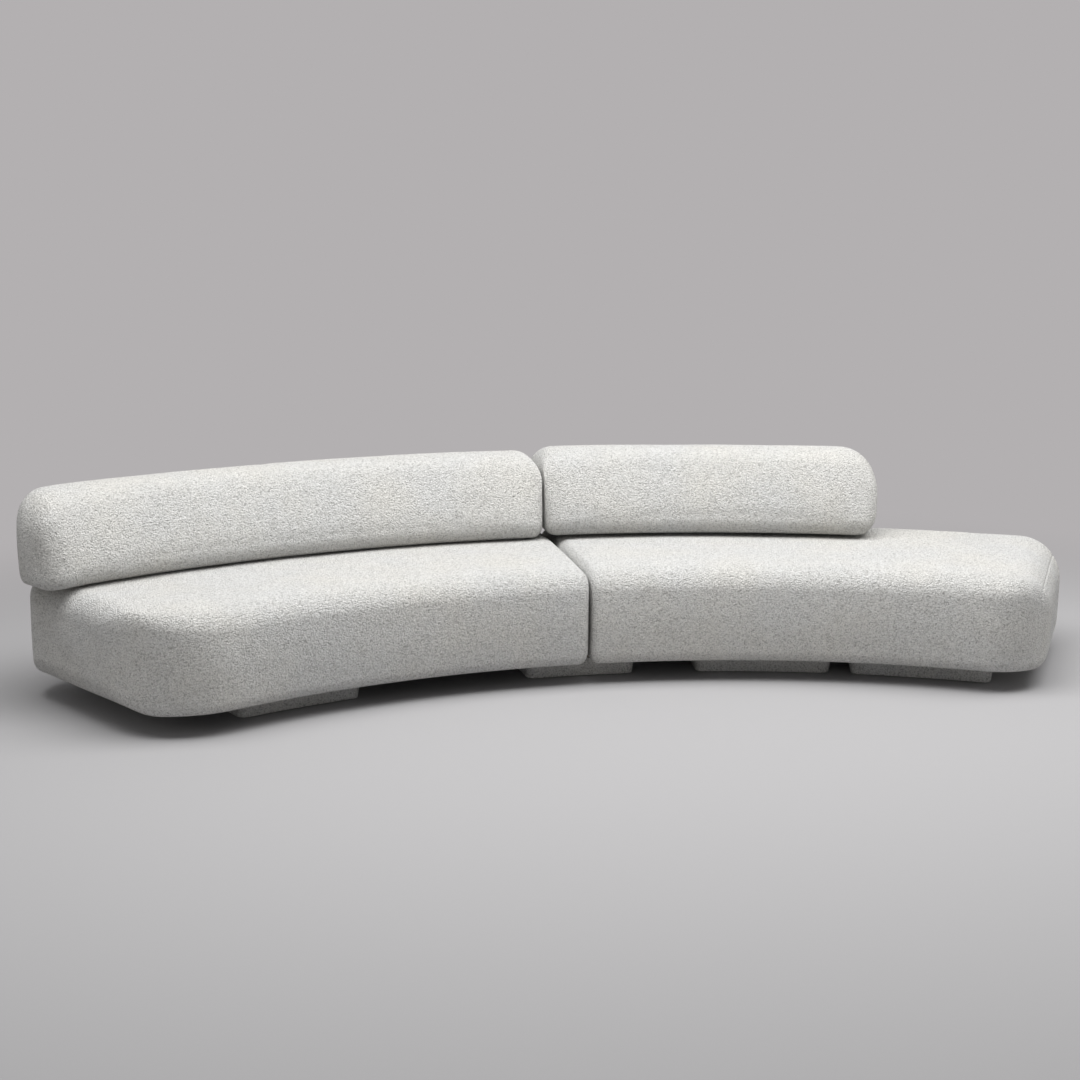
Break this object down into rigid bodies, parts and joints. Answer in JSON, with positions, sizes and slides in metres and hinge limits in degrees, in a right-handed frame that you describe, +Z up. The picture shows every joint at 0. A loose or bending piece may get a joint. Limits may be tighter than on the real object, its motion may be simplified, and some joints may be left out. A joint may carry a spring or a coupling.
{
  "type": "curved modular sofa",
  "caption": "Curved low sofa of joined padded seat modules on block feet, with padded back rolls that slide along the curve and lift off, leaving one end of the seat free.",
  "frame": {"origin": "on the floor under the middle of the outline", "axes": "+X to the sitter's left as seen from the front, along the sofa's length; +Y from the open front towards the backs; +Z up"},
  "size_m": [3.97, 1.3041, 0.768],
  "materials": {
    "boucle": "looped wool cloth, pale grey with darker flecks",
    "foam": "open-cell polyurethane foam",
    "plywood": "raw birch plywood",
    "webbing": "woven elastic webbing",
    "dust_cloth": "black non-woven cloth",
    "steel": "black powder coat",
    "zinc_steel": "zinc plated",
    "nylon": "black nylon"
  },
  "bodies": {
    "left_module": {"left_seat_cover": "boucle", "left_seat_foam": "foam", "left_seat_base_panel": "plywood", "left_seat_front_rail": "plywood", "left_seat_rear_rail": "plywood", "left_seat_end_rails": "plywood", "left_seat_ribs": "plywood", "left_seat_webbing": "webbing", "left_seat_track_bed": "plywood", "left_seat_track": "steel", "left_seat_track_stops": "nylon", "left_seat_track_screws": "zinc_steel", "left_seat_dust_cover": "dust_cloth", "left_foot_core": "plywood", "left_foot_cover": "boucle", "joint_foot_core": "plywood", "joint_foot_cover": "boucle", "left_glides": "nylon", "left_foot_screws": "zinc_steel", "joint_pins": "steel"},
    "right_module": {"right_seat_cover": "boucle", "right_seat_foam": "foam", "right_seat_base_panel": "plywood", "right_seat_front_rail": "plywood", "right_seat_rear_rail": "plywood", "right_seat_end_rails": "plywood", "right_seat_ribs": "plywood", "right_seat_webbing": "webbing", "right_seat_track_bed": "plywood", "right_seat_track": "steel", "right_seat_track_stops": "nylon", "right_seat_track_screws": "zinc_steel", "right_seat_dust_cover": "dust_cloth", "middle_foot_core": "plywood", "middle_foot_cover": "boucle", "right_foot_core": "plywood", "right_foot_cover": "boucle", "right_glides": "nylon", "right_foot_screws": "zinc_steel", "joint_bushes": "nylon"},
    "left_carriage": {"left_carriage_shoes": "nylon", "left_carriage_bar": "steel", "left_carriage_posts": "steel"},
    "left_back": {"left_back_cover": "boucle", "left_back_foam": "foam", "left_back_base_board": "plywood", "left_back_spine": "plywood", "left_back_gussets": "plywood", "left_back_sockets": "steel"},
    "right_carriage": {"right_carriage_shoes": "nylon", "right_carriage_bar": "steel", "right_carriage_posts": "steel"},
    "right_back": {"right_back_cover": "boucle", "right_back_foam": "foam", "right_back_base_board": "plywood", "right_back_spine": "plywood", "right_back_gussets": "plywood", "right_back_sockets": "steel"}
  },
  "joints": [
    {"name": "right_module_lift", "type": "slide", "parent": "left_module", "child": "right_module", "axis": [0, 0, 1], "range_m": [0, 0.06]},
    {"name": "left_back_slide", "type": "hinge", "parent": "left_module", "child": "left_carriage", "pos_m": [0.04802, -3.13038, 0.28], "axis": [0, 0, 1], "range_deg": [0, 2]},
    {"name": "right_back_slide", "type": "hinge", "parent": "right_module", "child": "right_carriage", "pos_m": [0.04802, -3.13038, 0.28], "axis": [0, 0, 1], "range_deg": [-11.5, 0]},
    {"name": "left_back_lift", "type": "slide", "parent": "left_carriage", "child": "left_back", "axis": [0, 0, 1], "range_m": [0, 0.13]},
    {"name": "right_back_lift", "type": "slide", "parent": "right_carriage", "child": "right_back", "axis": [0, 0, 1], "range_m": [0, 0.13]}
  ]
}
